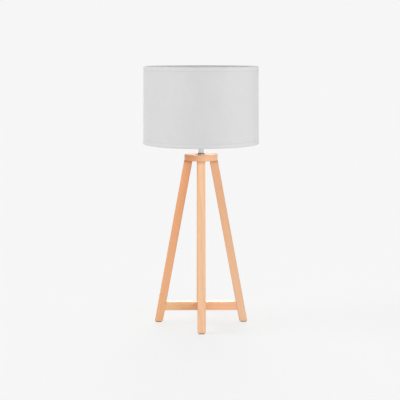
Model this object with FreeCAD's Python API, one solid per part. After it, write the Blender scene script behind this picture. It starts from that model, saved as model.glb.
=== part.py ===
import FreeCAD, Part
import math
import os

from FreeCAD import Vector as V

os.makedirs("parts", exist_ok=True)

# ----------------------------------------------------------------------------
# Table lamp: a fabric drum shade on a four-legged beech stand.
# Millimetres, +Z up, the floor at Z = 0, the lamp's axis on Z, front is -Y.
# ----------------------------------------------------------------------------

# stand
LEG_W = 17.5            # square leg stock
LEG_R_TOP = 27.2        # leg centre from the axis under the disc
LEG_R_FLOOR = 94.1      # leg centre from the axis at the floor
LEG_EDGE = 1.3          # rounding of the long edges
LEG_FOOT_CHAMFER = 2.0
PAD_T = 1.6             # felt pad under each foot
PAD_W = 12.6
DISC_D = 72.0
DISC_T = 13.0
DISC_TOP = 374.0
DISC_BOTTOM = DISC_TOP - DISC_T
DISC_EDGE = 0.9
BAR_Z0, BAR_Z1 = 27.0, 45.3     # cross stretcher
BAR_T = 15.0
BAR_EDGE = 0.8
PEG_D = 5.0             # two hidden dowels in each end of each bar
PEG_IN_BAR, PEG_IN_LEG = 11.0, 9.0
PEG_Z = (32.0, 40.3)

# fixings between disc and legs
SCREW_L, SCREW_D, SCREW_HEAD_D = 40.0, 4.0, 7.6
SCREW_R, SCREW_OFF = 26.8, -4.2
DOWEL_D, DOWEL_UP, DOWEL_DOWN = 5.0, 8.0, 14.0
DOWEL_OFF = 4.6

# metal tube and neck
TUBE_OD, TUBE_ID = 10.0, 7.4
TUBE_Z0, TUBE_Z1 = 350.0, 398.0
NECK_OD = 12.4
FLANGE_OD, FLANGE_T = 17.0, 2.6
NECK_TOP = 390.0
WASHER_OD, WASHER_T = 22.0, 1.5
NUT_AF, NUT_T = 17.0, 5.0

# lampholder for a 27 mm screw cap
HOLDER_Z0 = NECK_TOP
CAP_TOP = 412.0
SHELL_TOP = 446.0
SHELL_R = 19.7          # crest of the outer thread
SHELL_ROOT_R = 19.1
SHELL_IN_R = 17.0
SHELL_FLANGE_R = 23.2
SHELL_FLANGE_Z0, SHELL_FLANGE_Z1 = 412.0, 414.5
THREAD_PITCH = 2.5
CONTACT_IN_R, CONTACT_OUT_R = 13.4, 14.1
CONTACT_Z0, CONTACT_Z1 = 414.0, 440.5
TIP_Z = 416.5           # where the bulb's end contact meets the spring tongue

# shade carrier and shade
FITTER_ID, FITTER_OD, FITTER_T = 42.0, 55.0, 1.6
FITTER_Z0 = SHELL_FLANGE_Z1
WIRE_D = 3.0
ARMS = 3
SHADE_Z0, SHADE_Z1 = 397.0, 562.0
SHADE_R0, SHADE_R1 = 125.0, 123.0
TAPE_T = 0.4            # trim tape folded over each rim
TAPE_H = 8.0
TAPE_IN_H = 5.6
FABRIC_T = 0.8
LINER_T = 0.7

# threaded ring that clamps the shade carrier
RING_R_IN, RING_R_OUT, RING_H = 20.0, 26.5, 9.0

# bulb
BULB_R = 17.5
BULB_TOP = 516.0
BULB_CAP_R = 13.05


# ----------------------------------------------------------------------------
# helpers
# ----------------------------------------------------------------------------

def cyl(r, z0, z1, x=0.0, y=0.0):
    return Part.makeCylinder(r, z1 - z0, V(x, y, z0), V(0, 0, 1))


def tube(ro, ri, z0, z1, x=0.0, y=0.0):
    return cyl(ro, z0, z1, x, y).cut(cyl(ri, z0 - 1, z1 + 1, x, y))


def box(x0, x1, y0, y1, z0, z1):
    return Part.makeBox(x1 - x0, y1 - y0, z1 - z0, V(x0, y0, z0))


def prism(points, vec):
    wire = Part.makePolygon([V(*p) for p in points] + [V(*points[0])])
    return Part.Face(wire).extrude(V(*vec))


def lathe(points):
    """A solid of revolution about Z from (r, z) points in order."""
    pts = [V(r, 0, z) for r, z in points]
    wire = Part.makePolygon(pts + [pts[0]])
    return Part.Face(wire).revolve(V(0, 0, 0), V(0, 0, 1), 360)


def turned(shape, angle):
    s = shape.copy()
    s.rotate(V(0, 0, 0), V(0, 0, 1), angle)
    return s


def solid_of(shape):
    """The largest solid of a shape, as one clean solid."""
    shape = shape.removeSplitter()
    solids = sorted(shape.Solids, key=lambda s: s.Volume)
    return solids[-1]


def group(solids):
    return Part.makeCompound(list(solids))


def fillet_where(shape, radius, test):
    edges = [e for e in shape.Edges if test(e)]
    return shape.makeFillet(radius, edges)


def chamfer_where(shape, size, test):
    edges = [e for e in shape.Edges if test(e)]
    return shape.makeChamfer(size, edges)


NODES = {}


def keep(name, shape):
    NODES[name] = shape


# ----------------------------------------------------------------------------
# stand: four legs, each with its own front face square to its splay
# ----------------------------------------------------------------------------

SLOPE = (LEG_R_FLOOR - LEG_R_TOP) / DISC_BOTTOM
SPLAY = math.atan(SLOPE)
HALF = LEG_W / 2.0
HALF_X = HALF / math.cos(SPLAY)     # half the leg, measured level


def leg_r(z):
    return LEG_R_FLOOR - SLOPE * z


def leg_blank():
    """The leg that stands out along +X, before any joint is cut."""
    zt, zb = DISC_BOTTOM, PAD_T
    lean = V(-math.sin(SPLAY), 0, math.cos(SPLAY))
    across = V(math.cos(SPLAY), 0, math.sin(SPLAY))
    side = V(0, 1, 0)
    start = V(leg_r(0), 0, 0) - lean * 30
    h, r = HALF, LEG_EDGE
    q = r * (1 - math.sqrt(0.5))

    def at(u, v):
        return start + across * u + side * v

    edges = []
    corners = [(1, 1), (-1, 1), (-1, -1), (1, -1)]
    for i, (su, sv) in enumerate(corners):
        nu, nv = corners[(i + 1) % 4]
        if i % 2 == 0:
            arc = (at(su * h, sv * (h - r)), at(su * (h - q), sv * (h - q)), at(su * (h - r), sv * h))
            edges.append(Part.Arc(*arc).toShape())
            edges.append(Part.LineSegment(at(su * (h - r), sv * h), at(nu * (h - r), nv * h)).toShape())
        else:
            arc = (at(su * (h - r), sv * h), at(su * (h - q), sv * (h - q)), at(su * h, sv * (h - r)))
            edges.append(Part.Arc(*arc).toShape())
            edges.append(Part.LineSegment(at(su * h, sv * (h - r)), at(nu * h, nv * (h - r))).toShape())
    blank = Part.Face(Part.Wire(edges)).extrude(lean * 460)
    blank = blank.common(box(-100, 200, -50, 50, zb, zt))

    # the foot's four chamfers
    c = LEG_FOOT_CHAMFER
    x0, x1 = leg_r(zb) - HALF_X + c, leg_r(zb) + HALF_X - c
    blank = blank.common(prism([
        (x0, -60, zb), (x1, -60, zb), (x1 + 60, -60, zb + 60), (x1 + 60, -60, 400), (x0 - 160, -60, 400), (x0 - 160, -60, zb + 160),
    ], (0, 120, 0)))
    y0 = HALF - c
    blank = blank.common(prism([
        (-100, -y0, zb), (-100, y0, zb), (-100, y0 + 60, zb + 60), (-100, y0 + 60, 400), (-100, -y0 - 60, 400), (-100, -y0 - 60, zb + 60),
    ], (400, 0, 0)))
    return blank


def pegs():
    """The two dowels between the +X leg and its bar's end."""
    out = []
    for z in PEG_Z:
        face = leg_r(z) - HALF_X
        out.append(Part.makeCylinder(PEG_D / 2, PEG_IN_BAR + PEG_IN_LEG, V(face - PEG_IN_BAR, 0, z), V(1, 0, 0)))
    return out


def screw_blank(hole=False):
    """A countersunk wood screw standing head up under the disc's top face."""
    top = DISC_TOP
    r, h = SCREW_D / 2, SCREW_HEAD_D / 2
    tip = top - SCREW_L
    pts = [(0, top), (h, top), (h, top - 0.4), (r, top - 0.4 - (h - r)), (r, tip + 4.0), (0.3, tip), (0, tip)]
    s = lathe(pts)
    if not hole:
        cross = box(-2.2, 2.2, -0.45, 0.45, top - 2.0, top + 1).fuse(box(-0.45, 0.45, -2.2, 2.2, top - 2.0, top + 1))
        s = s.cut(cross)
    s.translate(V(SCREW_R, SCREW_OFF, 0))
    return s


def dowel_blank():
    s = cyl(DOWEL_D / 2, DISC_BOTTOM - DOWEL_DOWN, DISC_BOTTOM + DOWEL_UP, SCREW_R, DOWEL_OFF)
    return s


leg_x = leg_blank().cut(screw_blank(True)).cut(dowel_blank())
for peg in pegs():
    leg_x = leg_x.cut(peg)
leg_x = solid_of(leg_x)

LEG_NAMES = {"leg_right": 0, "leg_back": 90, "leg_left": 180, "leg_front": 270}
for name, angle in LEG_NAMES.items():
    keep(name, turned(leg_x, angle))

# felt pads, one under each foot
pad = box(leg_r(0) - PAD_W / 2, leg_r(0) + PAD_W / 2, -PAD_W / 2, PAD_W / 2, 0, PAD_T)
pad = fillet_where(pad, 2.0, lambda e: abs(e.Vertexes[0].Point.z - e.Vertexes[-1].Point.z) > 1)
keep("foot_pads", group(turned(pad, a) for a in LEG_NAMES.values()))

# disc
disc = cyl(DISC_D / 2, DISC_BOTTOM, DISC_TOP)
disc = disc.makeFillet(DISC_EDGE, [e for e in disc.Edges if len(e.Vertexes) == 1 and e.Curve.TypeId == "Part::GeomCircle"])
disc = disc.cut(cyl(TUBE_OD / 2 + 0.15, DISC_BOTTOM - 1, DISC_TOP + 1))
for a in LEG_NAMES.values():
    disc = disc.cut(turned(screw_blank(True), a)).cut(turned(dowel_blank(), a))
keep("top_disc", solid_of(disc))
keep("leg_screws", group(solid_of(turned(screw_blank(), a)) for a in LEG_NAMES.values()))
keep("leg_dowels", group(turned(dowel_blank(), a) for a in LEG_NAMES.values()))


# ----------------------------------------------------------------------------
# cross stretcher: two bars half-lapped at the middle, dowelled to the legs
# ----------------------------------------------------------------------------

def bar_blank():
    z0, z1 = BAR_Z0, BAR_Z1
    pts = [
        (-(leg_r(z0) - HALF_X), -BAR_T / 2, z0),
        (leg_r(z0) - HALF_X, -BAR_T / 2, z0),
        (leg_r(z1) - HALF_X, -BAR_T / 2, z1),
        (-(leg_r(z1) - HALF_X), -BAR_T / 2, z1),
    ]
    s = prism(pts, (0, BAR_T, 0))

    def long_edge(e):
        return e.BoundBox.XLength > 100 and e.BoundBox.ZLength < 1e-6

    s = fillet_where(s, BAR_EDGE, long_edge)
    for peg in pegs():
        s = s.cut(peg).cut(turned(peg, 180))
    return s


BAR_MID = (BAR_Z0 + BAR_Z1) / 2.0
bar_x = bar_blank().cut(box(-BAR_T / 2, BAR_T / 2, -20, 20, BAR_Z0 - 1, BAR_MID))
bar_y = turned(bar_blank(), 90).cut(box(-20, 20, -BAR_T / 2, BAR_T / 2, BAR_MID, BAR_Z1 + 1))
keep("stretcher_side_to_side", solid_of(bar_x))
keep("stretcher_front_to_back", solid_of(bar_y))
keep("stretcher_dowels", group(turned(peg, a) for a in LEG_NAMES.values() for peg in pegs()))


# ----------------------------------------------------------------------------
# metal tube, neck and nuts
# ----------------------------------------------------------------------------

keep("threaded_tube", tube(TUBE_OD / 2, TUBE_ID / 2, TUBE_Z0, TUBE_Z1))

flange = lathe([
    (TUBE_OD / 2 + 0.1, DISC_TOP), (FLANGE_OD / 2, DISC_TOP), (FLANGE_OD / 2, DISC_TOP + 0.9),
    (FLANGE_OD / 2 - 0.7, DISC_TOP + 1.6), (NECK_OD / 2 + 0.4, DISC_TOP + FLANGE_T),
    (TUBE_OD / 2 + 0.1, DISC_TOP + FLANGE_T),
])
keep("neck_flange", flange)
neck = tube(NECK_OD / 2, TUBE_OD / 2 + 0.1, DISC_TOP + FLANGE_T, NECK_TOP)
keep("neck_sleeve", neck)

keep("lower_washer", tube(WASHER_OD / 2, TUBE_OD / 2 + 0.15, DISC_BOTTOM - WASHER_T, DISC_BOTTOM))
nut_pts = []
for i in range(6):
    a = math.radians(60 * i + 30)
    nut_pts.append((NUT_AF / math.sqrt(3) * math.cos(a), NUT_AF / math.sqrt(3) * math.sin(a), DISC_BOTTOM - WASHER_T - NUT_T))
nut = prism(nut_pts, (0, 0, NUT_T))
nut = nut.common(lathe([
    (0, DISC_BOTTOM - WASHER_T - NUT_T), (NUT_AF / 2 - 0.1, DISC_BOTTOM - WASHER_T - NUT_T),
    (NUT_AF / 2 + 1.4, DISC_BOTTOM - WASHER_T - NUT_T + 0.9), (NUT_AF / 2 + 1.4, DISC_BOTTOM - WASHER_T),
    (0, DISC_BOTTOM - WASHER_T),
]))
nut = nut.cut(cyl(TUBE_OD / 2, DISC_BOTTOM - 20, DISC_BOTTOM + 1))
keep("lower_nut", solid_of(nut))

# bushing in the tube's lower end, where the supply lead enters
bush = lathe([
    (3.1, TUBE_Z0 - 3.0), (5.9, TUBE_Z0 - 3.0), (6.4, TUBE_Z0 - 2.4), (6.4, TUBE_Z0), (TUBE_ID / 2, TUBE_Z0),
    (TUBE_ID / 2, TUBE_Z0 + 7.0), (3.1, TUBE_Z0 + 7.0),
])
keep("cord_bushing", bush)


# ----------------------------------------------------------------------------
# lampholder
# ----------------------------------------------------------------------------

cap = lathe([
    (TUBE_OD / 2, HOLDER_Z0), (7.6, HOLDER_Z0), (8.6, HOLDER_Z0 + 0.8), (9.4, HOLDER_Z0 + 5.0),
    (12.6, HOLDER_Z0 + 7.6), (16.4, HOLDER_Z0 + 9.4), (18.9, HOLDER_Z0 + 12.0), (19.9, HOLDER_Z0 + 16.0),
    (19.9, CAP_TOP), (17.6, CAP_TOP), (17.6, HOLDER_Z0 + 15.0), (15.6, HOLDER_Z0 + 11.4),
    (11.6, HOLDER_Z0 + 9.6), (TUBE_OD / 2 + 2.6, HOLDER_Z0 + 8.4), (TUBE_OD / 2 + 2.6, HOLDER_Z0 + 8.0),
    (TUBE_OD / 2, HOLDER_Z0 + 8.0),
])
# side hole for the screw that locks the cap to the tube
lock_axis_z = HOLDER_Z0 + 3.4
lock_hole = Part.makeCylinder(1.5, 12, V(0, 0, lock_axis_z), V(0, 1, 0))
cap = cap.cut(lock_hole)
keep("holder_cap", solid_of(cap))

lock = Part.makeCylinder(1.5, 4.4, V(0, TUBE_OD / 2, lock_axis_z), V(0, 1, 0))
lock = lock.cut(box(-0.35, 0.35, TUBE_OD / 2 + 3.6, TUBE_OD / 2 + 6, lock_axis_z - 2, lock_axis_z + 2))
keep("lock_screw", solid_of(lock))

# outer shell with a flange and a coarse outer thread
prof = [(SHELL_IN_R, SHELL_FLANGE_Z0), (SHELL_FLANGE_R - 0.5, SHELL_FLANGE_Z0), (SHELL_FLANGE_R, SHELL_FLANGE_Z0 + 0.5),
        (SHELL_FLANGE_R, SHELL_FLANGE_Z1), (SHELL_ROOT_R, SHELL_FLANGE_Z1)]
z = SHELL_FLANGE_Z1 + 1.0
while z + THREAD_PITCH < SHELL_TOP - 1.2:
    prof += [(SHELL_ROOT_R, z), (SHELL_R, z + 0.7), (SHELL_R, z + 1.3), (SHELL_ROOT_R, z + 2.0)]
    z += THREAD_PITCH
prof += [(SHELL_ROOT_R, SHELL_TOP - 0.6), (SHELL_ROOT_R - 0.6, SHELL_TOP), (14.4, SHELL_TOP), (14.4, CONTACT_Z1), (SHELL_IN_R, CONTACT_Z1 - 3.0)]
keep("holder_shell", lathe(prof))

# insulating insert with a boss for the tongue, two terminal pockets
insert = cyl(16.9, 405.0, CONTACT_Z0)
insert = insert.fuse(cyl(12.6, CONTACT_Z0, CONTACT_Z0 + 0.9))
insert = insert.cut(cyl(1.3, 400.0, 420.0, 0, -6.2))
TERMINALS = [(10.5, 3.0), (-10.5, 3.0)]
for x, y in TERMINALS:
    insert = insert.cut(cyl(2.6, 404.0, 408.4, x, y)).cut(cyl(1.25, 404.0, 412.4, x, y))
for y0, y1 in ((-14.0, -9.4),):
    insert = insert.cut(box(-4, 4, y0, y1, 404, 409))
keep("holder_insert", solid_of(insert))

screws = []
for x, y in TERMINALS:
    s = cyl(2.4, 406.2, 408.4, x, y).fuse(cyl(1.25, 408.4, 412.4, x, y))
    s = s.cut(box(x - 3, x + 3, y - 0.35, y + 0.35, 406.0, 406.9))
    screws.append(solid_of(s))
keep("terminal_screws", group(screws))

# threaded contact, drawn with its round thread
prof = []
zc = CONTACT_Z0 + 0.9
outer = [(CONTACT_OUT_R, CONTACT_Z0), (CONTACT_OUT_R, CONTACT_Z1)]
contact = tube(CONTACT_OUT_R, CONTACT_IN_R, CONTACT_Z0, CONTACT_Z1)
contact = contact.fuse(tube(CONTACT_OUT_R, 12.7, CONTACT_Z0, CONTACT_Z0 + 0.7))
keep("threaded_contact", solid_of(contact))

# spring tongue under the bulb's end contact
tongue = prism([
    (-2.6, -8.4, CONTACT_Z0 + 0.9), (-2.6, -4.0, CONTACT_Z0 + 0.9), (-2.6, -3.0, TIP_Z - 0.5), (-2.6, 3.4, TIP_Z - 0.5),
    (-2.6, 3.4, TIP_Z), (-2.6, -3.4, TIP_Z), (-2.6, -4.5, CONTACT_Z0 + 1.4), (-2.6, -8.4, CONTACT_Z0 + 1.4),
], (5.2, 0, 0))
rivet = cyl(1.3, 404.4, CONTACT_Z0 + 0.9, 0, -6.2).fuse(cyl(2.2, 404.0, 405.0, 0, -6.2))
keep("centre_contact", solid_of(tongue.fuse(rivet)))


# ----------------------------------------------------------------------------
# shade
# ----------------------------------------------------------------------------

TAPER = (SHADE_R0 - SHADE_R1) / (SHADE_Z1 - SHADE_Z0)


def shade_r(z, inset=0.0):
    return SHADE_R0 - TAPER * (z - SHADE_Z0) - inset


def shade_shell(i0, i1, z0, z1):
    return lathe([(shade_r(z0, i1), z0), (shade_r(z0, i0), z0), (shade_r(z1, i0), z1), (shade_r(z1, i1), z1)])


FZ0, FZ1 = SHADE_Z0 + TAPE_T, SHADE_Z1 - TAPE_T
keep("shade_fabric", shade_shell(TAPE_T, TAPE_T + FABRIC_T, FZ0, FZ1))
keep("shade_liner", shade_shell(TAPE_T + FABRIC_T, TAPE_T + FABRIC_T + LINER_T, FZ0, FZ1))

WALL = TAPE_T + FABRIC_T + LINER_T
WR = WIRE_D / 2.0
Z_TOP_WIRE = FZ1 - WR - 0.05
Z_BOT_WIRE = FZ0 + WR + 0.05
R_TOP_WIRE = shade_r(Z_TOP_WIRE, WALL) - WR - 0.05
R_BOT_WIRE = shade_r(Z_BOT_WIRE, WALL) - WR - 0.05
keep("top_ring", Part.makeTorus(R_TOP_WIRE, WR, V(0, 0, Z_TOP_WIRE), V(0, 0, 1)))
bottom_ring = Part.makeTorus(R_BOT_WIRE, WR, V(0, 0, Z_BOT_WIRE), V(0, 0, 1))
keep("bottom_ring", bottom_ring)

TAPE_IN = WALL + WIRE_D + 0.1 + TAPE_T


def tape(z_rim, sign, wire_r):
    """Trim tape: a U section over one rim, closed round the wire."""
    zr = z_rim
    zi = z_rim - sign * TAPE_T
    zo = z_rim - sign * TAPE_H
    zn = z_rim - sign * TAPE_IN_H
    rin = wire_r - WR - 0.05
    return lathe([
        (shade_r(zr), zr), (shade_r(zo), zo), (shade_r(zo, TAPE_T), zo), (shade_r(zi, TAPE_T), zi),
        (rin, zi), (rin, zn), (rin - TAPE_T, zn), (rin - TAPE_T, zr),
    ])


tape_top = tape(SHADE_Z1, 1, R_TOP_WIRE)
tape_bottom = tape(SHADE_Z0, -1, R_BOT_WIRE)

# arms from the bottom ring up to the fitter ring
ARM_IN_R = 24.2
ARM_IN_Z = FITTER_Z0 - WR
a0 = V(R_BOT_WIRE, 0, Z_BOT_WIRE)
a1 = V(ARM_IN_R + 9.0, 0, ARM_IN_Z)
a2 = V(ARM_IN_R, 0, ARM_IN_Z)
d = a1 - a0
arm = Part.makeCylinder(WR, d.Length, a0, d)
arm = arm.fuse(Part.makeSphere(WR, a1)).fuse(Part.makeCylinder(WR, (a2 - a1).Length, a1, a2 - a1))
arm = arm.removeSplitter()
arms, arm_cutters = [], []
for i in range(ARMS):
    a = 90 + 360.0 / ARMS * i
    arm_cutters.append(turned(arm, a))
    arms.append(solid_of(turned(arm, a).cut(bottom_ring)))
keep("fitter_arms", group(arms))
for c in arm_cutters:
    tape_bottom = tape_bottom.cut(c)
keep("top_trim_tape", tape_top)
keep("bottom_trim_tape", solid_of(tape_bottom))

fitter = tube(FITTER_OD / 2, FITTER_ID / 2, FITTER_Z0, FITTER_Z0 + FITTER_T)
keep("fitter_ring", fitter)


# ----------------------------------------------------------------------------
# threaded shade ring
# ----------------------------------------------------------------------------

rz0 = FITTER_Z0 + FITTER_T
ring = lathe([
    (RING_R_IN, rz0), (RING_R_OUT - 0.5, rz0), (RING_R_OUT, rz0 + 0.5), (RING_R_OUT, rz0 + 1.8),
    (RING_R_OUT - 2.6, rz0 + 2.6), (RING_R_OUT - 2.6, rz0 + RING_H - 0.8), (RING_R_OUT - 3.4, rz0 + RING_H),
    (RING_R_IN, rz0 + RING_H),
])
grips = []
for i in range(24):
    a = 360.0 / 24 * i
    g = box(RING_R_OUT - 3.3, RING_R_OUT - 2.0, -0.55, 0.55, rz0 + 2.9, rz0 + RING_H + 1)
    grips.append(turned(g, a))
ring = ring.cut(Part.makeCompound(grips))
keep("shade_ring", solid_of(ring))


# ----------------------------------------------------------------------------
# bulb
# ----------------------------------------------------------------------------

b0 = TIP_Z
keep("bulb_end_contact", lathe([(0, b0), (2.6, b0), (4.2, b0 + 1.3), (4.2, b0 + 2.0), (0, b0 + 2.0)]))
keep("bulb_insulator", lathe([
    (0, b0 + 2.0), (4.2, b0 + 2.0), (4.2, b0 + 1.3), (5.0, b0 + 1.3), (9.6, b0 + 4.6), (9.6, b0 + 5.4), (0, b0 + 5.4),
]))
prof = [(8.9, b0 + 5.4), (9.6, b0 + 5.4), (9.6, b0 + 4.6), (10.4, b0 + 4.6), (BULB_CAP_R - 1.0, b0 + 6.2)]
z = b0 + 6.2
while z + 3.629 < b0 + 22.0:
    prof += [(BULB_CAP_R - 0.95, z), (BULB_CAP_R - 0.25, z + 0.8), (BULB_CAP_R, z + 1.8), (BULB_CAP_R - 0.25, z + 2.8)]
    z += 3.629
prof += [(BULB_CAP_R - 0.95, z), (BULB_CAP_R - 0.2, z + 0.9), (BULB_CAP_R - 0.2, b0 + 25.5), (BULB_CAP_R - 1.2, b0 + 25.5),
         (BULB_CAP_R - 1.9, b0 + 22.0), (BULB_CAP_R - 1.9, b0 + 7.4)]
keep("bulb_screw_cap", lathe(prof))

# plastic body on the cap, light plate on the body, and the diffuser over both
body = lathe([
    (0, b0 + 25.5), (BULB_CAP_R, b0 + 25.5), (BULB_CAP_R + 0.2, b0 + 27.0), (BULB_CAP_R + 0.6, b0 + 31.0), (15.0, b0 + 38.0),
    (16.4, b0 + 46.0), (16.4, b0 + 50.0), (15.2, b0 + 50.0), (15.2, b0 + 48.4), (0, b0 + 48.4),
])
keep("bulb_body", body)
keep("bulb_light_plate", cyl(14.4, b0 + 48.4, b0 + 50.0))

h0 = b0 + 50.0
outer_pts = [(16.4, h0), (17.2, h0 + 4.0), (BULB_R, h0 + 9.0), (17.2, h0 + 15.0), (16.0, h0 + 22.0), (13.8, h0 + 30.0),
             (10.8, h0 + 37.5), (7.2, h0 + 43.6), (3.6, h0 + 47.9), (0, BULB_TOP)]


def bulge(pts):
    c = Part.BSplineCurve()
    c.interpolate([V(r, 0, z) for r, z in pts])
    return c.toShape()


def glass():
    outer = bulge(outer_pts)
    t = 1.2
    inner_pts = [(15.2, h0), (16.0, h0 + 4.0), (BULB_R - t, h0 + 9.0), (16.0, h0 + 15.0), (14.8, h0 + 22.0), (12.6, h0 + 29.8),
                 (9.7, h0 + 36.8), (6.3, h0 + 42.6), (3.1, h0 + 46.6), (0, BULB_TOP - 1.3)]
    inner = bulge(inner_pts)
    e1 = Part.LineSegment(V(15.2, 0, h0), V(16.4, 0, h0)).toShape()
    e2 = Part.LineSegment(V(0, 0, BULB_TOP), V(0, 0, BULB_TOP - 1.3)).toShape()
    wire = Part.Wire(Part.__sortEdges__([outer, e2, inner, e1]))
    return Part.Face(wire).revolve(V(0, 0, 0), V(0, 0, 1), 360)


keep("bulb_diffuser", glass())


# ----------------------------------------------------------------------------
# write
# ----------------------------------------------------------------------------

for name, shape in NODES.items():
    shape.exportStep("parts/%s.step" % name)
    bb = shape.BoundBox
    print("%-26s valid=%s solids=%d vol=%.1f  z %.1f..%.1f  x %.1f..%.1f" % (
        name, shape.isValid(), len(shape.Solids), shape.Volume, bb.ZMin, bb.ZMax, bb.XMin, bb.XMax))
print(len(NODES), "nodes")
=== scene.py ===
import bmesh
import bpy
import math
from mathutils import Matrix, Vector
from mathutils import noise as perlin


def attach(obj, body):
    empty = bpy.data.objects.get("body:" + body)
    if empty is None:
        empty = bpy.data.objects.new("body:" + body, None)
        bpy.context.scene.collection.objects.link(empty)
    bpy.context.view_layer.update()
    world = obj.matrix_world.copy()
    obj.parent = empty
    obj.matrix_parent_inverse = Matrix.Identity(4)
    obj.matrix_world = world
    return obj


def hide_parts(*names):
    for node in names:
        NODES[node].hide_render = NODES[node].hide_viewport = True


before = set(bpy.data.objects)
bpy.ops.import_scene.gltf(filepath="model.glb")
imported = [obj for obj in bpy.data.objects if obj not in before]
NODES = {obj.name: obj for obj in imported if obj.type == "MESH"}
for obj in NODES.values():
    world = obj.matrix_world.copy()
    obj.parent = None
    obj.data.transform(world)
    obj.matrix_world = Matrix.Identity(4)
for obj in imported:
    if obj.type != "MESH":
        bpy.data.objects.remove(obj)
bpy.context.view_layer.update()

# light, as the radiance that a white matt surface facing it would get from it
TOP = 0.5000
AROUND = 0.1000
BACKDROP = 0.9216
FLOOR_ALBEDO = 0.12
FLOOR_FIX = -0.0013
# softboxes: strength, azimuth from the front towards the right, elevation, width in degrees
BOXES = [(0.5500, 180.0, 22.0, 40.0), (0.7279, -88.0, 30.0, 34.0), (0.0725, -18.0, 6.0, 34.0), (0.1877, 0.0, 6.0, 34.0), (0.6179, 38.0, 6.0, 34.0), (0.1430, 88.0, 6.0, 34.0), (0.1169, 88.0, 30.0, 34.0)]
TOP_AZ, TOP_EL, TOP_WIDE = 170.0, 62.0, 45.0

# base colours, linear
TINT_FRONT = (0.8204, 0.5080, 0.2978)
TINT_LEFT = (0.8069, 0.4165, 0.2032)
TINT_RIGHT = (0.7437, 0.4484, 0.2639)
TINT_BACK = (0.7753, 0.4325, 0.2335)
TINT_DISC = (0.7809, 0.4190, 0.2160)
TINT_BAR_L = (0.8800, 0.5450, 0.2770)
TINT_BAR_R = (0.8197, 0.4455, 0.2497)
CLOTH = (0.6212, 0.6201, 0.6213)

# sizes from the frame, metres
SHADE_Z0, SHADE_Z1 = 0.397, 0.562
SHADE_R0, SHADE_R1 = 0.125, 0.123
TAPE_T = 0.0004
CLOTH_T = 0.00045
WALL = 0.0019
LEG_HALF = 0.00875
LEG_R_FLOOR = 0.0941
SPLAY = math.atan((94.1 - 27.2) / 361.0)


def rgba(value):
    if isinstance(value, bpy.types.NodeSocket):
        return value
    return (value[0], value[1], value[2], 1.0)


class Net:
    """One procedural material, built node by node in the piece's own coordinates."""

    def __init__(self, name, fixed=None):
        self.material = bpy.data.materials.new(name)
        self.material.use_nodes = True
        self.tree = self.material.node_tree
        self.tree.nodes.clear()
        end = self.add("ShaderNodeOutputMaterial")
        self.shader = self.add("ShaderNodeBsdfPrincipled")
        self.link(self.shader.outputs[0], end.inputs[0])
        self.p = self.add("ShaderNodeTexCoord").outputs["Object"]
        for key, value in (fixed or {}).items():
            self.shader.inputs[key].default_value = value

    def add(self, kind):
        return self.tree.nodes.new(kind)

    def link(self, a, b):
        self.tree.links.new(a, b)

    def feed(self, socket, value):
        if value is None:
            return
        if isinstance(value, bpy.types.NodeSocket):
            self.link(value, socket)
        else:
            socket.default_value = value

    def math(self, op, a, b=None, c=None):
        n = self.add("ShaderNodeMath")
        n.operation = op
        for socket, value in zip(n.inputs, (a, b, c)):
            self.feed(socket, value)
        return n.outputs[0]

    def mad(self, a, m, c):
        return self.math("MULTIPLY_ADD", a, m, c)

    def dot(self, direction):
        n = self.add("ShaderNodeVectorMath")
        n.operation = "DOT_PRODUCT"
        self.link(self.p, n.inputs[0])
        n.inputs[1].default_value = direction
        return n.outputs["Value"]

    def vec(self, x, y, z):
        n = self.add("ShaderNodeCombineXYZ")
        for socket, value in zip(n.inputs, (x, y, z)):
            self.feed(socket, value)
        return n.outputs[0]

    def split(self):
        n = self.add("ShaderNodeSeparateXYZ")
        self.link(self.p, n.inputs[0])
        return n.outputs[0], n.outputs[1], n.outputs[2]

    def noise(self, vector, detail=2.0, rough=0.5):
        n = self.add("ShaderNodeTexNoise")
        self.link(vector, n.inputs["Vector"])
        n.inputs["Scale"].default_value = 1.0
        n.inputs["Detail"].default_value = detail
        n.inputs["Roughness"].default_value = rough
        return n.outputs[0]

    def grain(self, scale, detail=2.0, rough=0.5):
        """Even noise of that many cells to the metre."""
        n = self.add("ShaderNodeTexNoise")
        self.link(self.p, n.inputs["Vector"])
        n.inputs["Scale"].default_value = scale
        n.inputs["Detail"].default_value = detail
        n.inputs["Roughness"].default_value = rough
        return n.outputs[0]

    def smooth(self, value, low, high, to_low=0.0, to_high=1.0):
        n = self.add("ShaderNodeMapRange")
        n.interpolation_type = "SMOOTHSTEP"
        self.feed(n.inputs[0], value)
        for i, v in enumerate((low, high, to_low, to_high)):
            n.inputs[i + 1].default_value = v
        return n.outputs[0]

    def blend(self, factor, a, b, kind="MIX"):
        n = self.add("ShaderNodeMix")
        n.data_type = "RGBA"
        n.blend_type = kind
        self.feed(n.inputs[0], factor)
        self.feed(n.inputs[6], rgba(a))
        self.feed(n.inputs[7], rgba(b))
        return n.outputs[2]

    def scaled(self, colour, factor):
        """A colour times a number that changes over the surface."""
        n = self.add("ShaderNodeVectorMath")
        n.operation = "SCALE"
        if isinstance(colour, bpy.types.NodeSocket):
            self.link(colour, n.inputs[0])
        else:
            n.inputs[0].default_value = colour[:3]
        self.feed(n.inputs["Scale"], factor)
        return n.outputs[0]

    def colour(self, value):
        self.feed(self.shader.inputs["Base Color"], rgba(value))

    def roughness(self, value):
        self.feed(self.shader.inputs["Roughness"], value)

    def bump(self, height, distance, strength=1.0):
        n = self.add("ShaderNodeBump")
        n.inputs["Strength"].default_value = strength
        n.inputs["Distance"].default_value = distance
        self.link(height, n.inputs["Height"])
        self.link(n.outputs[0], self.shader.inputs["Normal"])


# ---------------------------------------------------------------------------
# materials
# ---------------------------------------------------------------------------

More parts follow.
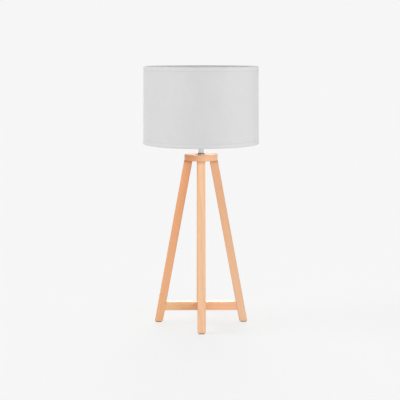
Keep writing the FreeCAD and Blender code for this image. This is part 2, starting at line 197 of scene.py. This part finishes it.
def wood(name, along, across, side, origin, tint, seed, half=None, tint2=None, span=None, painted_light_top_z=None, fade=None):
    """Oiled beech: soft growth rings about a distant pith, fibres along the stock and short dark ray flecks."""
    n = Net(name, {"Coat Weight": 0.16, "Coat Roughness": 0.24, "Specular IOR Level": 0.45})
    along, across, side, origin = Vector(along), Vector(across), Vector(side), Vector(origin)
    shift = 3.17 * seed
    g = n.dot(along)
    a = n.math("SUBTRACT", n.dot(across), origin.dot(across))
    b = n.math("SUBTRACT", n.dot(side), origin.dot(side))

    drift = n.noise(n.vec(n.mad(g, 5.0, shift), n.mad(a, 26.0, shift), n.math("MULTIPLY", b, 26.0)), 2.0)
    ra = n.math("ADD", a, 0.034 + 0.007 * (seed % 3))
    rb = n.math("ADD", b, 0.013 if seed % 2 else -0.011)
    r = n.math("SQRT", n.mad(ra, ra, n.math("MULTIPLY", rb, rb)))
    r = n.mad(drift, 0.0070, r)
    r = n.mad(g, 0.012, r)
    ring = n.math("FRACT", n.math("MULTIPLY", r, 1.0 / 0.0029))
    late = n.smooth(ring, 0.40, 0.96)
    fibre = n.noise(n.vec(n.mad(g, 30.0, shift), n.math("MULTIPLY", a, 1500.0), n.math("MULTIPLY", b, 1500.0)), 3.0, 0.6)
    streak = n.noise(n.vec(n.mad(g, 7.0, shift), n.math("MULTIPLY", a, 330.0), n.math("MULTIPLY", b, 330.0)), 2.0, 0.55)
    cloud = n.noise(n.vec(n.mad(g, 9.0, shift), n.math("MULTIPLY", a, 55.0), n.math("MULTIPLY", b, 55.0)), 2.0)
    fleck = n.noise(n.vec(n.mad(g, 520.0, shift), n.math("MULTIPLY", a, 3100.0), n.math("MULTIPLY", b, 1300.0)), 1.0)
    fleck = n.smooth(fleck, 0.62, 0.74)

    tone = n.math("MULTIPLY", late, 0.20)
    tone = n.mad(fibre, 0.42, tone)
    tone = n.mad(streak, 0.30, tone)
    tone = n.mad(cloud, 0.24, tone)
    base = tint
    if tint2 is not None:
        x, _, _ = n.split()
        base = n.blend(n.smooth(x, span[0], span[1]), tint, tint2)
    shade = n.blend(tone, (1.09, 1.10, 1.12), (0.82, 0.73, 0.64))
    col = n.blend(1.0, base, shade, "MULTIPLY")
    col = n.blend(1.0, col, n.blend(n.math("MULTIPLY", fleck, 0.55), (1.0, 1.0, 1.0), (0.55, 0.42, 0.35)), "MULTIPLY")
    if half is not None:
        # the stock is a little darker along its edges, in patches
        m = n.math("MINIMUM", n.math("ABSOLUTE", a), n.math("ABSOLUTE", b))
        e = n.smooth(m, half - 0.0022, half - 0.0003)
        e = n.math("MULTIPLY", e, n.smooth(cloud, 0.25, 0.75, 0.35, 0.75))
        col = n.blend(1.0, col, n.blend(e, (1.0, 1.0, 1.0), (0.80, 0.72, 0.64)), "MULTIPLY")
        # painted shade: darker in the joint under the disc, where shade falls; also darker towards the foot's end
        _, _, z = n.split()
        col = n.blend(n.smooth(z, 0.3520, 0.3605), col, n.blend(1.0, col, (0.74, 0.66, 0.60), "MULTIPLY"))
        col = n.blend(n.smooth(z, 0.0070, 0.0015), col, n.blend(1.0, col, (0.88, 0.84, 0.80), "MULTIPLY"))
    if fade is not None:
        # painted shade: the leg darker and more orange towards its top, under the disc and the shade, paler towards the
        # foot, as (low end, high end)
        _, _, z = n.split()
        col = n.blend(1.0, col, n.blend(n.smooth(z, 0.01, 0.34), fade[0], fade[1]), "MULTIPLY")
    if painted_light_top_z is not None:
        # painted light: the disc's top face made up to 1.34 times lighter, against the shade's shadow on it
        _, _, z = n.split()
        col = n.scaled(col, n.smooth(z, painted_light_top_z - 0.0010, painted_light_top_z - 0.0002, 1.0, 1.34))
    n.colour(col)
    n.roughness(n.mad(fibre, 0.18, 0.33))
    height = n.math("MULTIPLY", fibre, 0.55)
    height = n.mad(late, 0.16, height)
    height = n.mad(fleck, -0.40, height)
    n.bump(height, 0.00009, 0.65)
    return n.material


def shifted(tint, r, g, b):
    return (tint[0] * r, tint[1] * g, tint[2] * b)


def leg_wood(name, azimuth, tint, seed, fade=None):
    a = math.radians(azimuth)
    out = Vector((math.cos(a), math.sin(a), 0.0))
    turn = Vector((-math.sin(a), math.cos(a), 0.0))
    up = Vector((0.0, 0.0, 1.0))
    along = up * math.cos(SPLAY) - out * math.sin(SPLAY)
    across = out * math.cos(SPLAY) + up * math.sin(SPLAY)
    return wood(name, along, across, turn, out * LEG_R_FLOOR, tint, seed, half=LEG_HALF, fade=fade)


def cloth(name, brightness, kind):
    """Light grey plain weave: warp and weft half a millimetre apart, slubs in the yarn, painted shade along the folds
    at the rims and on the turned-in side.
    """
    n = Net(name, {"Specular IOR Level": 0.22, "Sheen Weight": 0.04, "Sheen Roughness": 0.5})
    x, y, z = n.split()
    around = n.math("MULTIPLY", n.math("ARCTAN2", x, n.math("MULTIPLY", y, -1.0)), 0.124)
    wave = math.pi / 0.00052
    fu = n.math("MULTIPLY", around, wave)
    fv = n.math("MULTIPLY", z, wave)
    warp_h = n.mad(n.math("COSINE", n.math("MULTIPLY", fu, 2.0)), 0.5, 0.5)
    weft_h = n.mad(n.math("COSINE", n.math("MULTIPLY", fv, 2.0)), 0.5, 0.5)
    over = n.smooth(n.math("MULTIPLY", n.math("COSINE", fu), n.math("COSINE", fv)), -0.45, 0.45)
    under = n.math("SUBTRACT", 1.0, over)
    weave = n.mad(over, warp_h, n.math("MULTIPLY", under, weft_h))
    weft = n.noise(n.vec(n.math("MULTIPLY", around, 55.0), n.math("MULTIPLY", z, 1900.0), 3.1), 2.0, 0.6)
    warp = n.noise(n.vec(n.math("MULTIPLY", around, 1900.0), n.math("MULTIPLY", z, 55.0), 9.7), 2.0, 0.6)
    yarn = n.mad(over, warp, n.math("MULTIPLY", under, weft))
    fuzz = n.grain(5200.0, 2.0, 0.6)
    cloud = n.grain(22.0, 2.0)
    f = n.mad(yarn, 0.20, 0.90)
    f = n.mad(weave, 0.12, n.math("ADD", f, -0.072))
    f = n.mad(fuzz, 0.08, n.math("ADD", f, -0.04))
    f = n.mad(cloud, 0.035, n.math("ADD", f, -0.0175))
    if kind == "wall":
        # a pressed shadow line where each trim tape ends
        f = n.math("MULTIPLY", f, n.smooth(z, SHADE_Z1 - 0.0104, SHADE_Z1 - 0.0086, 1.0, 0.93))
        f = n.math("MULTIPLY", f, n.smooth(z, SHADE_Z0 + 0.0104, SHADE_Z0 + 0.0086, 1.0, 0.95))
    # painted shade: the tapes are darker along the fold at the rim
    elif kind == "bottom":
        f = n.math("MULTIPLY", f, n.smooth(z, SHADE_Z0 + 0.0034, SHADE_Z0 + 0.0006, 1.0, 0.90))
    elif kind == "top":
        f = n.math("MULTIPLY", f, n.smooth(z, SHADE_Z1 - 0.0024, SHADE_Z1 - 0.0004, 1.0, 0.90))
    if kind != "wall":
        # painted shade: the turned-in side, inside the drum, is darker
        out = n.math("SQRT", n.mad(x, x, n.math("MULTIPLY", y, y)))
        f = n.math("MULTIPLY", f, n.smooth(out, 0.1195, 0.1220, 0.74, 1.0))
    tone = tuple(c * brightness for c in CLOTH)
    # warp a shade cooler than weft
    base = n.blend(over, tuple(c * k for c, k in zip(tone, (1.012, 1.0, 0.988))), tuple(c * k for c, k in zip(tone, (0.988, 1.0, 1.014))))
    n.colour(n.scaled(base, f))
    n.roughness(n.mad(fuzz, 0.14, 0.82))
    height = n.mad(weave, 0.7, n.math("MULTIPLY", yarn, 0.5))
    height = n.mad(fuzz, 0.25, height)
    n.bump(height, 0.00016, 0.7)
    return n.material


def plastic(name, colour, rough=0.38, speckle=0.03, coat=0.0, bumps=0.00003, **fixed):
    """Moulded plastic with a fine eroded texture, faint flow clouds and a few rubbed places."""
    extra = {"Coat Weight": coat}
    extra.update({k.replace("_", " "): v for k, v in fixed.items()})
    n = Net(name, extra)
    flow = n.grain(38.0, 3.0)
    fine = n.grain(2400.0, 2.0, 0.6)
    f = n.mad(flow, speckle, 1.0 - speckle / 2)
    f = n.mad(fine, speckle * 0.6, n.math("ADD", f, -speckle * 0.3))
    n.colour(n.scaled(colour, f))
    n.roughness(n.mad(flow, 0.12, n.mad(fine, 0.06, rough - 0.09)))
    n.bump(fine, bumps, 0.6)
    return n.material


def metal(name, colour, rough, turned=True, thread=None, tarnish=0.10, warm=(1.0, 0.95, 0.86)):
    """Metal with fine turning marks, thin scratches and slight tarnish."""
    n = Net(name, {"Metallic": 1.0})
    x, y, z = n.split()
    cloud = n.grain(160.0, 3.0, 0.6)
    marks = n.noise(n.vec(n.math("MULTIPLY", x, 60.0), n.math("MULTIPLY", y, 60.0), n.math("MULTIPLY", z, 6500.0)), 2.0, 0.7) if turned else n.grain(3000.0, 2.0, 0.6)
    worn = n.smooth(cloud, 0.52, 0.80)
    col = n.blend(n.math("MULTIPLY", worn, tarnish * 3.0), colour, tuple(c * w * 0.82 for c, w in zip(colour, warm)))
    n.colour(n.scaled(col, n.mad(marks, 0.10, 0.95)))
    n.roughness(n.mad(worn, 0.16, n.mad(marks, 0.10, rough - 0.05)))
    if thread:
        h = n.mad(n.math("SINE", n.math("MULTIPLY", z, 2 * math.pi / thread)), 0.5, 0.5)
        n.bump(h, thread * 0.35, 1.0)
    else:
        n.bump(marks, 0.000012, 0.5)
    return n.material


def felt(name, colour):
    """Pressed wool felt: matted short fibres."""
    n = Net(name, {"Specular IOR Level": 0.1, "Sheen Weight": 0.25, "Sheen Roughness": 0.6})
    fine = n.grain(2600.0, 3.0, 0.7)
    mat = n.grain(420.0, 3.0, 0.6)
    n.colour(n.scaled(colour, n.mad(fine, 0.9, n.mad(mat, 0.4, 0.35))))
    n.roughness(n.mad(fine, 0.1, 0.88))
    n.bump(n.mad(fine, 0.7, n.math("MULTIPLY", mat, 0.5)), 0.00035, 0.9)
    return n.material


def lining(name):
    """White styrene film: satin, with a faint orange peel and roll marks."""
    n = Net(name, {"Specular IOR Level": 0.5, "Subsurface Weight": 0.05, "Subsurface Scale": 0.001})
    x, y, z = n.split()
    around = n.math("MULTIPLY", n.math("ARCTAN2", x, n.math("MULTIPLY", y, -1.0)), 0.124)
    roll = n.noise(n.vec(n.math("MULTIPLY", around, 9.0), n.math("MULTIPLY", z, 120.0), 1.3), 2.0)
    peel = n.grain(900.0, 2.0)
    cloud = n.grain(30.0, 2.0)
    f = n.mad(roll, 0.03, n.mad(cloud, 0.03, 0.97))
    n.colour(n.scaled((0.80, 0.80, 0.785), f))
    n.roughness(n.mad(peel, 0.12, 0.36))
    n.bump(n.mad(peel, 0.6, roll), 0.00006, 0.5)
    return n.material


M = {
    "wood_front": leg_wood("beech_leg_front", -90.0, TINT_FRONT, 1),
    "wood_back": leg_wood("beech_leg_back", 90.0, TINT_BACK, 4),
    "wood_left": leg_wood("beech_leg_left", 180.0, TINT_LEFT, 2, ((1.0, 1.065, 1.105), (1.0, 0.935, 0.905))),
    "wood_right": leg_wood("beech_leg_right", 0.0, TINT_RIGHT, 5, ((1.05, 1.11, 1.19), (0.95, 0.90, 0.84))),
    # painted light: deeper orange towards the disc's left end, in shade, paler and cooler towards the right, where the
    # highlight falls
    "wood_disc": wood("beech_disc", (1, 0, 0), (0, 0, 1), (0, 1, 0), (0, 0, 0.3675), shifted(TINT_DISC, 1.0, 0.87, 0.78), 3,
                      tint2=shifted(TINT_DISC, 0.965, 1.05, 1.15), span=(-0.032, 0.006), painted_light_top_z=0.374),
    "wood_bar_x": wood("beech_stretcher_side", (1, 0, 0), (0, 1, 0), (0, 0, 1), (0, 0, 0.036), TINT_BAR_L, 6, tint2=TINT_BAR_R, span=(-0.070, 0.020)),
    "wood_bar_y": wood("beech_stretcher_depth", (0, 1, 0), (1, 0, 0), (0, 0, 1), (0, 0, 0.036), TINT_BACK, 7),
    "dowel_wood": wood("birch_dowel", (0, 0, 1), (1, 0, 0), (0, 1, 0), (0, 0, 0), (0.80, 0.60, 0.40), 8),
    "felt": felt("brown_felt", (0.105, 0.075, 0.056)),
    "chrome": metal("polished_chrome", (0.64, 0.645, 0.655), 0.10, tarnish=0.05),
    # painted reflection: the flange gets a darker copy of the chrome, standing in for dark reflections at the neck's
    # foot
    "chrome_painted_dark": metal("polished_chrome_foot", (0.40, 0.40, 0.41), 0.16, tarnish=0.10),
    "zinc": metal("zinc_steel", (0.60, 0.61, 0.62), 0.36, tarnish=0.10),
    "thread": metal("zinc_threaded", (0.60, 0.60, 0.60), 0.34, thread=0.001),
    "brass": metal("brass", (0.80, 0.60, 0.30), 0.30, tarnish=0.12, warm=(1.0, 0.86, 0.66)),
    "nickel": metal("nickel", (0.68, 0.66, 0.62), 0.26, tarnish=0.06),
    "white_plastic": plastic("white_plastic", (0.68, 0.68, 0.665), 0.36),
    "ring_plastic": plastic("white_ring_plastic", (0.70, 0.70, 0.69), 0.42),
    "insulation": plastic("dark_insulation", (0.055, 0.050, 0.047), 0.45, 0.12),
    "glaze": plastic("black_glaze", (0.012, 0.012, 0.013), 0.14, 0.10, coat=0.4),
    "wire": plastic("white_wire", (0.70, 0.70, 0.69), 0.33, 0.05, bumps=0.00006),
    "bulb_plastic": plastic("bulb_plastic", (0.66, 0.66, 0.65), 0.40),
    "light_plate": plastic("light_plate", (0.68, 0.69, 0.68), 0.50, 0.05),
    "opal": plastic("bulb_opal", (0.74, 0.74, 0.725), 0.30, 0.02, bumps=0.00001, Subsurface_Weight=0.25, Subsurface_Scale=0.004),
    "cloth_wall": cloth("shade_cloth", 1.0, "wall"),
    "cloth_top": cloth("shade_tape_top", 1.018, "top"),
    "cloth_bottom": cloth("shade_tape_bottom", 1.018, "bottom"),
    "lining": lining("shade_lining"),
}

FINISH = {
    "leg_front": "wood_front", "leg_back": "wood_back", "leg_left": "wood_left", "leg_right": "wood_right",
    "top_disc": "wood_disc", "stretcher_side_to_side": "wood_bar_x", "stretcher_front_to_back": "wood_bar_y",
    "leg_dowels": "dowel_wood", "stretcher_dowels": "dowel_wood", "foot_pads": "felt",
    "leg_screws": "zinc", "threaded_tube": "thread", "neck_flange": "chrome_painted_dark", "neck_sleeve": "chrome",
    "lower_washer": "zinc", "lower_nut": "zinc", "cord_bushing": "white_plastic",
    "holder_cap": "white_plastic", "lock_screw": "zinc", "holder_shell": "white_plastic",
    "holder_insert": "insulation", "terminal_screws": "brass", "threaded_contact": "brass", "centre_contact": "brass",
    "shade_fabric": "cloth_wall", "shade_liner": "lining", "top_trim_tape": "cloth_top", "bottom_trim_tape": "cloth_bottom",
    "top_ring": "wire", "bottom_ring": "wire", "fitter_arms": "wire", "fitter_ring": "wire",
    "shade_ring": "ring_plastic",
    "bulb_screw_cap": "nickel", "bulb_insulator": "glaze", "bulb_end_contact": "nickel",
    "bulb_body": "bulb_plastic", "bulb_light_plate": "light_plate", "bulb_diffuser": "opal",
}


def paint(obj, material):
    if not obj.material_slots:
        obj.data.materials.append(material)
    for s in obj.material_slots:
        s.material = material


for node, obj in NODES.items():
    paint(obj, M[FINISH.get(node, "white_plastic")])


# ---------------------------------------------------------------------------
# the shade's sheets
# ---------------------------------------------------------------------------

TAPER = (SHADE_R0 - SHADE_R1) / (SHADE_Z1 - SHADE_Z0)
LEAD = 0.065        # angle over which the cloth's end climbs onto its start
OVERLAP = 0.092     # angle of the glued overlap at the back


def shade_r(z):
    return SHADE_R0 - TAPER * (z - SHADE_Z0)


def ease(t):
    t = min(max(t, 0.0), 1.0)
    return t * t * (3 - 2 * t)


def ripple(turn, z):
    """A hand-laid drum is never quite round: under a tenth of a millimetre of unevenness."""
    return 0.00003 * perlin.noise(Vector((math.sin(turn) * 2.6, math.cos(turn) * 2.6, z * 11.0)))


def polar(turn, r, z):
    """turn is measured from the back, where the seam is."""
    return (r * math.sin(turn), r * math.cos(turn), z)


def swept(columns, closed):
    """Points and faces of a closed section carried through its columns."""
    count = len(columns[0])
    verts = [p for column in columns for p in column]
    faces = []
    for i in range(len(columns) if closed else len(columns) - 1):
        a, b = i * count, ((i + 1) % len(columns)) * count
        for j in range(count):
            k = (j + 1) % count
            faces.append((a + j, b + j, b + k, a + k))
    if not closed:
        for start in (0, (len(columns) - 1) * count):
            for j in range(count // 2 - 1):
                faces.append((start + j, start + j + 1, start + count - 2 - j, start + count - 1 - j))
    return verts, faces


def piece(name, verts, faces, material, body, angle=38.0):
    mesh = bpy.data.meshes.new(name)
    mesh.from_pydata(verts, [], faces)
    b = bmesh.new()
    b.from_mesh(mesh)
    bmesh.ops.recalc_face_normals(b, faces=b.faces)
    b.to_mesh(mesh)
    b.free()
    mesh.polygons.foreach_set("use_smooth", [True] * len(mesh.polygons))
    mesh.set_sharp_from_angle(angle=math.radians(angle))
    mesh.materials.append(material)
    obj = bpy.data.objects.new(name, mesh)
    bpy.context.scene.collection.objects.link(obj)
    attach(obj, body)
    return obj


def cloth_wall():
    """One sheet wrapped round the drum, its end glued over its start at the back."""
    rows, steps = 22, 480
    z0, z1 = SHADE_Z0 + TAPE_T, SHADE_Z1 - TAPE_T
    heights = [z0 + (z1 - z0) * j / (rows - 1) for j in range(rows)]
    columns = []
    step = 2 * math.pi / steps
    for i in range(steps + int(OVERLAP / step) + 1):
        turn = i * step
        lift = (CLOTH_T + 0.00003) * ease((turn - (2 * math.pi - LEAD)) / LEAD)
        outer = [polar(turn, shade_r(z) - TAPE_T + lift + ripple(turn, z), z) for z in heights]
        inner = [polar(turn, shade_r(z) - TAPE_T - CLOTH_T + lift + ripple(turn, z), z) for z in reversed(heights)]
        columns.append(outer + inner)
    return swept(columns, False)


def tape_lift(turn):
    """How far a tape stands out over the cloth's overlap."""
    full = CLOTH_T + 0.00003
    if turn <= OVERLAP:
        return full
    if turn <= OVERLAP + 0.03:
        return full * (1 - ease((turn - OVERLAP) / 0.03))
    return full * ease((turn - (2 * math.pi - LEAD)) / LEAD)


def tape_section():
    """The tape's closed section as (offset from the shade's face, distance inside the rim, on the outside)."""
    out, inn = [], []
    for d in (8.0, 6.4, 4.8, 3.2, 1.8):
        out.append((0.0, d, 1))
        inn.append((0.4, d, 1))
    for i in range(6):
        a = math.pi / 2 * i / 5
        out.append((0.9 - 0.9 * math.cos(a), 0.9 - 0.9 * math.sin(a), 1 if i < 3 else 0))
        inn.append((0.9 - 0.5 * math.cos(a), 0.9 - 0.5 * math.sin(a), 1 if i < 3 else 0))
    out.append((2.6, -0.03, 0))
    inn.append((2.6, 0.37, 0))
    for i in range(6):
        a = math.pi / 2 * i / 5
        out.append((4.5 + 0.9 * math.sin(a), 0.9 - 0.9 * math.cos(a), 0))
        inn.append((4.5 + 0.5 * math.sin(a), 0.9 - 0.5 * math.cos(a), 0))
    for d in (2.4, 4.0, 5.6):
        out.append((5.4, d, 0))
        inn.append((5.0, d, 0))
    return out + inn[::-1]


def tape(top):
    section = tape_section()
    columns = []
    steps = 400
    for i in range(steps):
        turn = 2 * math.pi * i / steps
        lift = tape_lift(turn)
        column = []
        for inset, deep, outside in section:
            z = SHADE_Z1 - deep / 1000 if top else SHADE_Z0 + deep / 1000
            r = shade_r(z) - inset / 1000 + ripple(turn, z) + (lift if outside else 0.0)
            column.append(polar(turn, r, z))
        columns.append(column)
    return swept(columns, True)


def liner_wall():
    """Styrene film under the cloth, with its own glued lap inside at the back."""
    rows, steps = 8, 300
    z0, z1 = SHADE_Z0 + TAPE_T, SHADE_Z1 - TAPE_T
    heights = [z0 + (z1 - z0) * j / (rows - 1) for j in range(rows)]
    columns = []
    for i in range(steps):
        turn = 2 * math.pi * i / steps
        lap = 0.0003 * (ease((0.075 - abs(turn - 0.12)) / 0.008))
        outer = [polar(turn, shade_r(z) - TAPE_T - CLOTH_T - 0.00003 + ripple(turn, z), z) for z in heights]
        inner = [polar(turn, shade_r(z) - WALL - lap + ripple(turn, z), z) for z in reversed(heights)]
        columns.append(outer + inner)
    return swept(columns, True)


wall = piece("shade_cloth_wrap", *cloth_wall(), M["cloth_wall"], "shade")
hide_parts("shade_fabric")

top_tape = piece("shade_top_tape", *tape(True), M["cloth_top"], "shade", 50.0)
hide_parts("top_trim_tape")

bottom_tape = piece("shade_bottom_tape", *tape(False), M["cloth_bottom"], "shade", 50.0)
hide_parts("bottom_trim_tape")

liner = piece("shade_lining_film", *liner_wall(), M["lining"], "shade")
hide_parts("shade_liner")


# ---------------------------------------------------------------------------
# weld beads where the carrier's arms meet their rings
# ---------------------------------------------------------------------------

def bead_spots():
    points = [v.co.copy() for v in NODES["fitter_arms"].data.vertices]
    spots = []
    for k in range(3):
        mid = math.radians(90 + 120 * k)
        arm = [p for p in points if math.cos(math.atan2(p.y, p.x) - mid) > 0.9]
        if not arm:
            continue
        far = max(math.hypot(p.x, p.y) for p in arm)
        outer = [p for p in arm if math.hypot(p.x, p.y) > far - 0.0012]
        spots.append((sum(outer, Vector()) / len(outer), 0.0018))
        level = min(p.z for p in arm if math.hypot(p.x, p.y) < 0.034) + 0.0015
        spots.append((Vector((0.0288 * math.cos(mid), 0.0288 * math.sin(mid), level)), 0.0017))
    return spots


beads = bmesh.new()
for spot, radius in bead_spots():
    made = bmesh.ops.create_icosphere(beads, subdivisions=3, radius=radius, matrix=Matrix.Translation(spot))
    for v in made["verts"]:
        away = v.co - spot
        away.z *= 0.85
        lump = 1.0 + 0.16 * perlin.noise(v.co * 700.0) + 0.06 * perlin.noise(v.co * 2300.0)
        v.co = spot + away * lump
bead_mesh = bpy.data.meshes.new("weld_beads")
beads.to_mesh(bead_mesh)
beads.free()
bead_mesh.polygons.foreach_set("use_smooth", [True] * len(bead_mesh.polygons))
bead_mesh.materials.append(M["wire"])
bead_obj = bpy.data.objects.new("weld_beads", bead_mesh)
bpy.context.scene.collection.objects.link(bead_obj)
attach(bead_obj, "shade")


# ---------------------------------------------------------------------------
# floor, light and camera
# ---------------------------------------------------------------------------

def sun(name, strength, azimuth, elevation, wide):
    data = bpy.data.lights.new(name, "SUN")
    data.energy = strength * math.pi
    data.angle = math.radians(wide)
    obj = bpy.data.objects.new(name, data)
    a, e = math.radians(azimuth), math.radians(elevation)
    toward = Vector((math.sin(a) * math.cos(e), -math.cos(a) * math.cos(e), math.sin(e)))
    obj.rotation_euler = toward.to_track_quat("Z", "Y").to_euler()
    obj.location = toward * 3.0
    bpy.context.scene.collection.objects.link(obj)


for number, (strength, azimuth, elevation, wide) in enumerate(BOXES, 1):
    sun("softbox_%d" % number, strength, azimuth, elevation, wide)
sun("softbox_above", TOP, TOP_AZ, TOP_EL, TOP_WIDE)

world = bpy.data.worlds.new("studio")
world.use_nodes = True
bpy.context.scene.world = world
tree = world.node_tree
tree.nodes.clear()
end = tree.nodes.new("ShaderNodeOutputWorld")
seen = tree.nodes.new("ShaderNodeBackground")
seen.inputs[0].default_value = (1, 1, 1, 1)
seen.inputs[1].default_value = BACKDROP
lit = tree.nodes.new("ShaderNodeBackground")
lit.inputs[0].default_value = (1, 1, 1, 1)
lit.inputs[1].default_value = AROUND
path = tree.nodes.new("ShaderNodeLightPath")
pick = tree.nodes.new("ShaderNodeMixShader")
tree.links.new(path.outputs["Is Camera Ray"], pick.inputs[0])
tree.links.new(lit.outputs[0], pick.inputs[1])
tree.links.new(seen.outputs[0], pick.inputs[2])
tree.links.new(pick.outputs[0], end.inputs[0])

glow = BACKDROP + FLOOR_FIX - FLOOR_ALBEDO * (
    AROUND + TOP * math.sin(math.radians(TOP_EL)) + sum(s * math.sin(math.radians(e)) for s, _, e, _ in BOXES))
paper = bpy.data.materials.new("pale_paper_floor")
paper.use_nodes = True
tree = paper.node_tree
tree.nodes.clear()
end = tree.nodes.new("ShaderNodeOutputMaterial")
matt = tree.nodes.new("ShaderNodeBsdfDiffuse")
matt.inputs[0].default_value = (FLOOR_ALBEDO, FLOOR_ALBEDO, FLOOR_ALBEDO, 1)
own = tree.nodes.new("ShaderNodeEmission")
own.inputs[0].default_value = (1, 1, 1, 1)
own.inputs[1].default_value = glow
both = tree.nodes.new("ShaderNodeAddShader")
tree.links.new(matt.outputs[0], both.inputs[0])
tree.links.new(own.outputs[0], both.inputs[1])
tree.links.new(both.outputs[0], end.inputs[0])
paper.cycles.emission_sampling = "NONE"
S = 40.0
floor_mesh = bpy.data.meshes.new("floor")
floor_mesh.from_pydata([(-S, -S, -0.0001), (S, -S, -0.0001), (S, S, -0.0001), (-S, S, -0.0001)], [], [(0, 1, 2, 3)])
floor_mesh.materials.append(paper)
floor = bpy.data.objects.new("floor", floor_mesh)
bpy.context.scene.collection.objects.link(floor)

cam = bpy.data.cameras.new("camera")
cam.lens = 85.85
cam.sensor_width = 36.0
cam.shift_x = -0.0025
camera = bpy.data.objects.new("camera", cam)
camera.location = (-0.02774, -2.05611, 0.59332)
camera.rotation_euler = (math.radians(81.139), 0.0, math.radians(-0.773))
bpy.context.scene.collection.objects.link(camera)
bpy.context.scene.camera = camera
bpy.context.scene.view_settings.view_transform = "Standard"
bpy.context.scene.view_settings.look = "None"
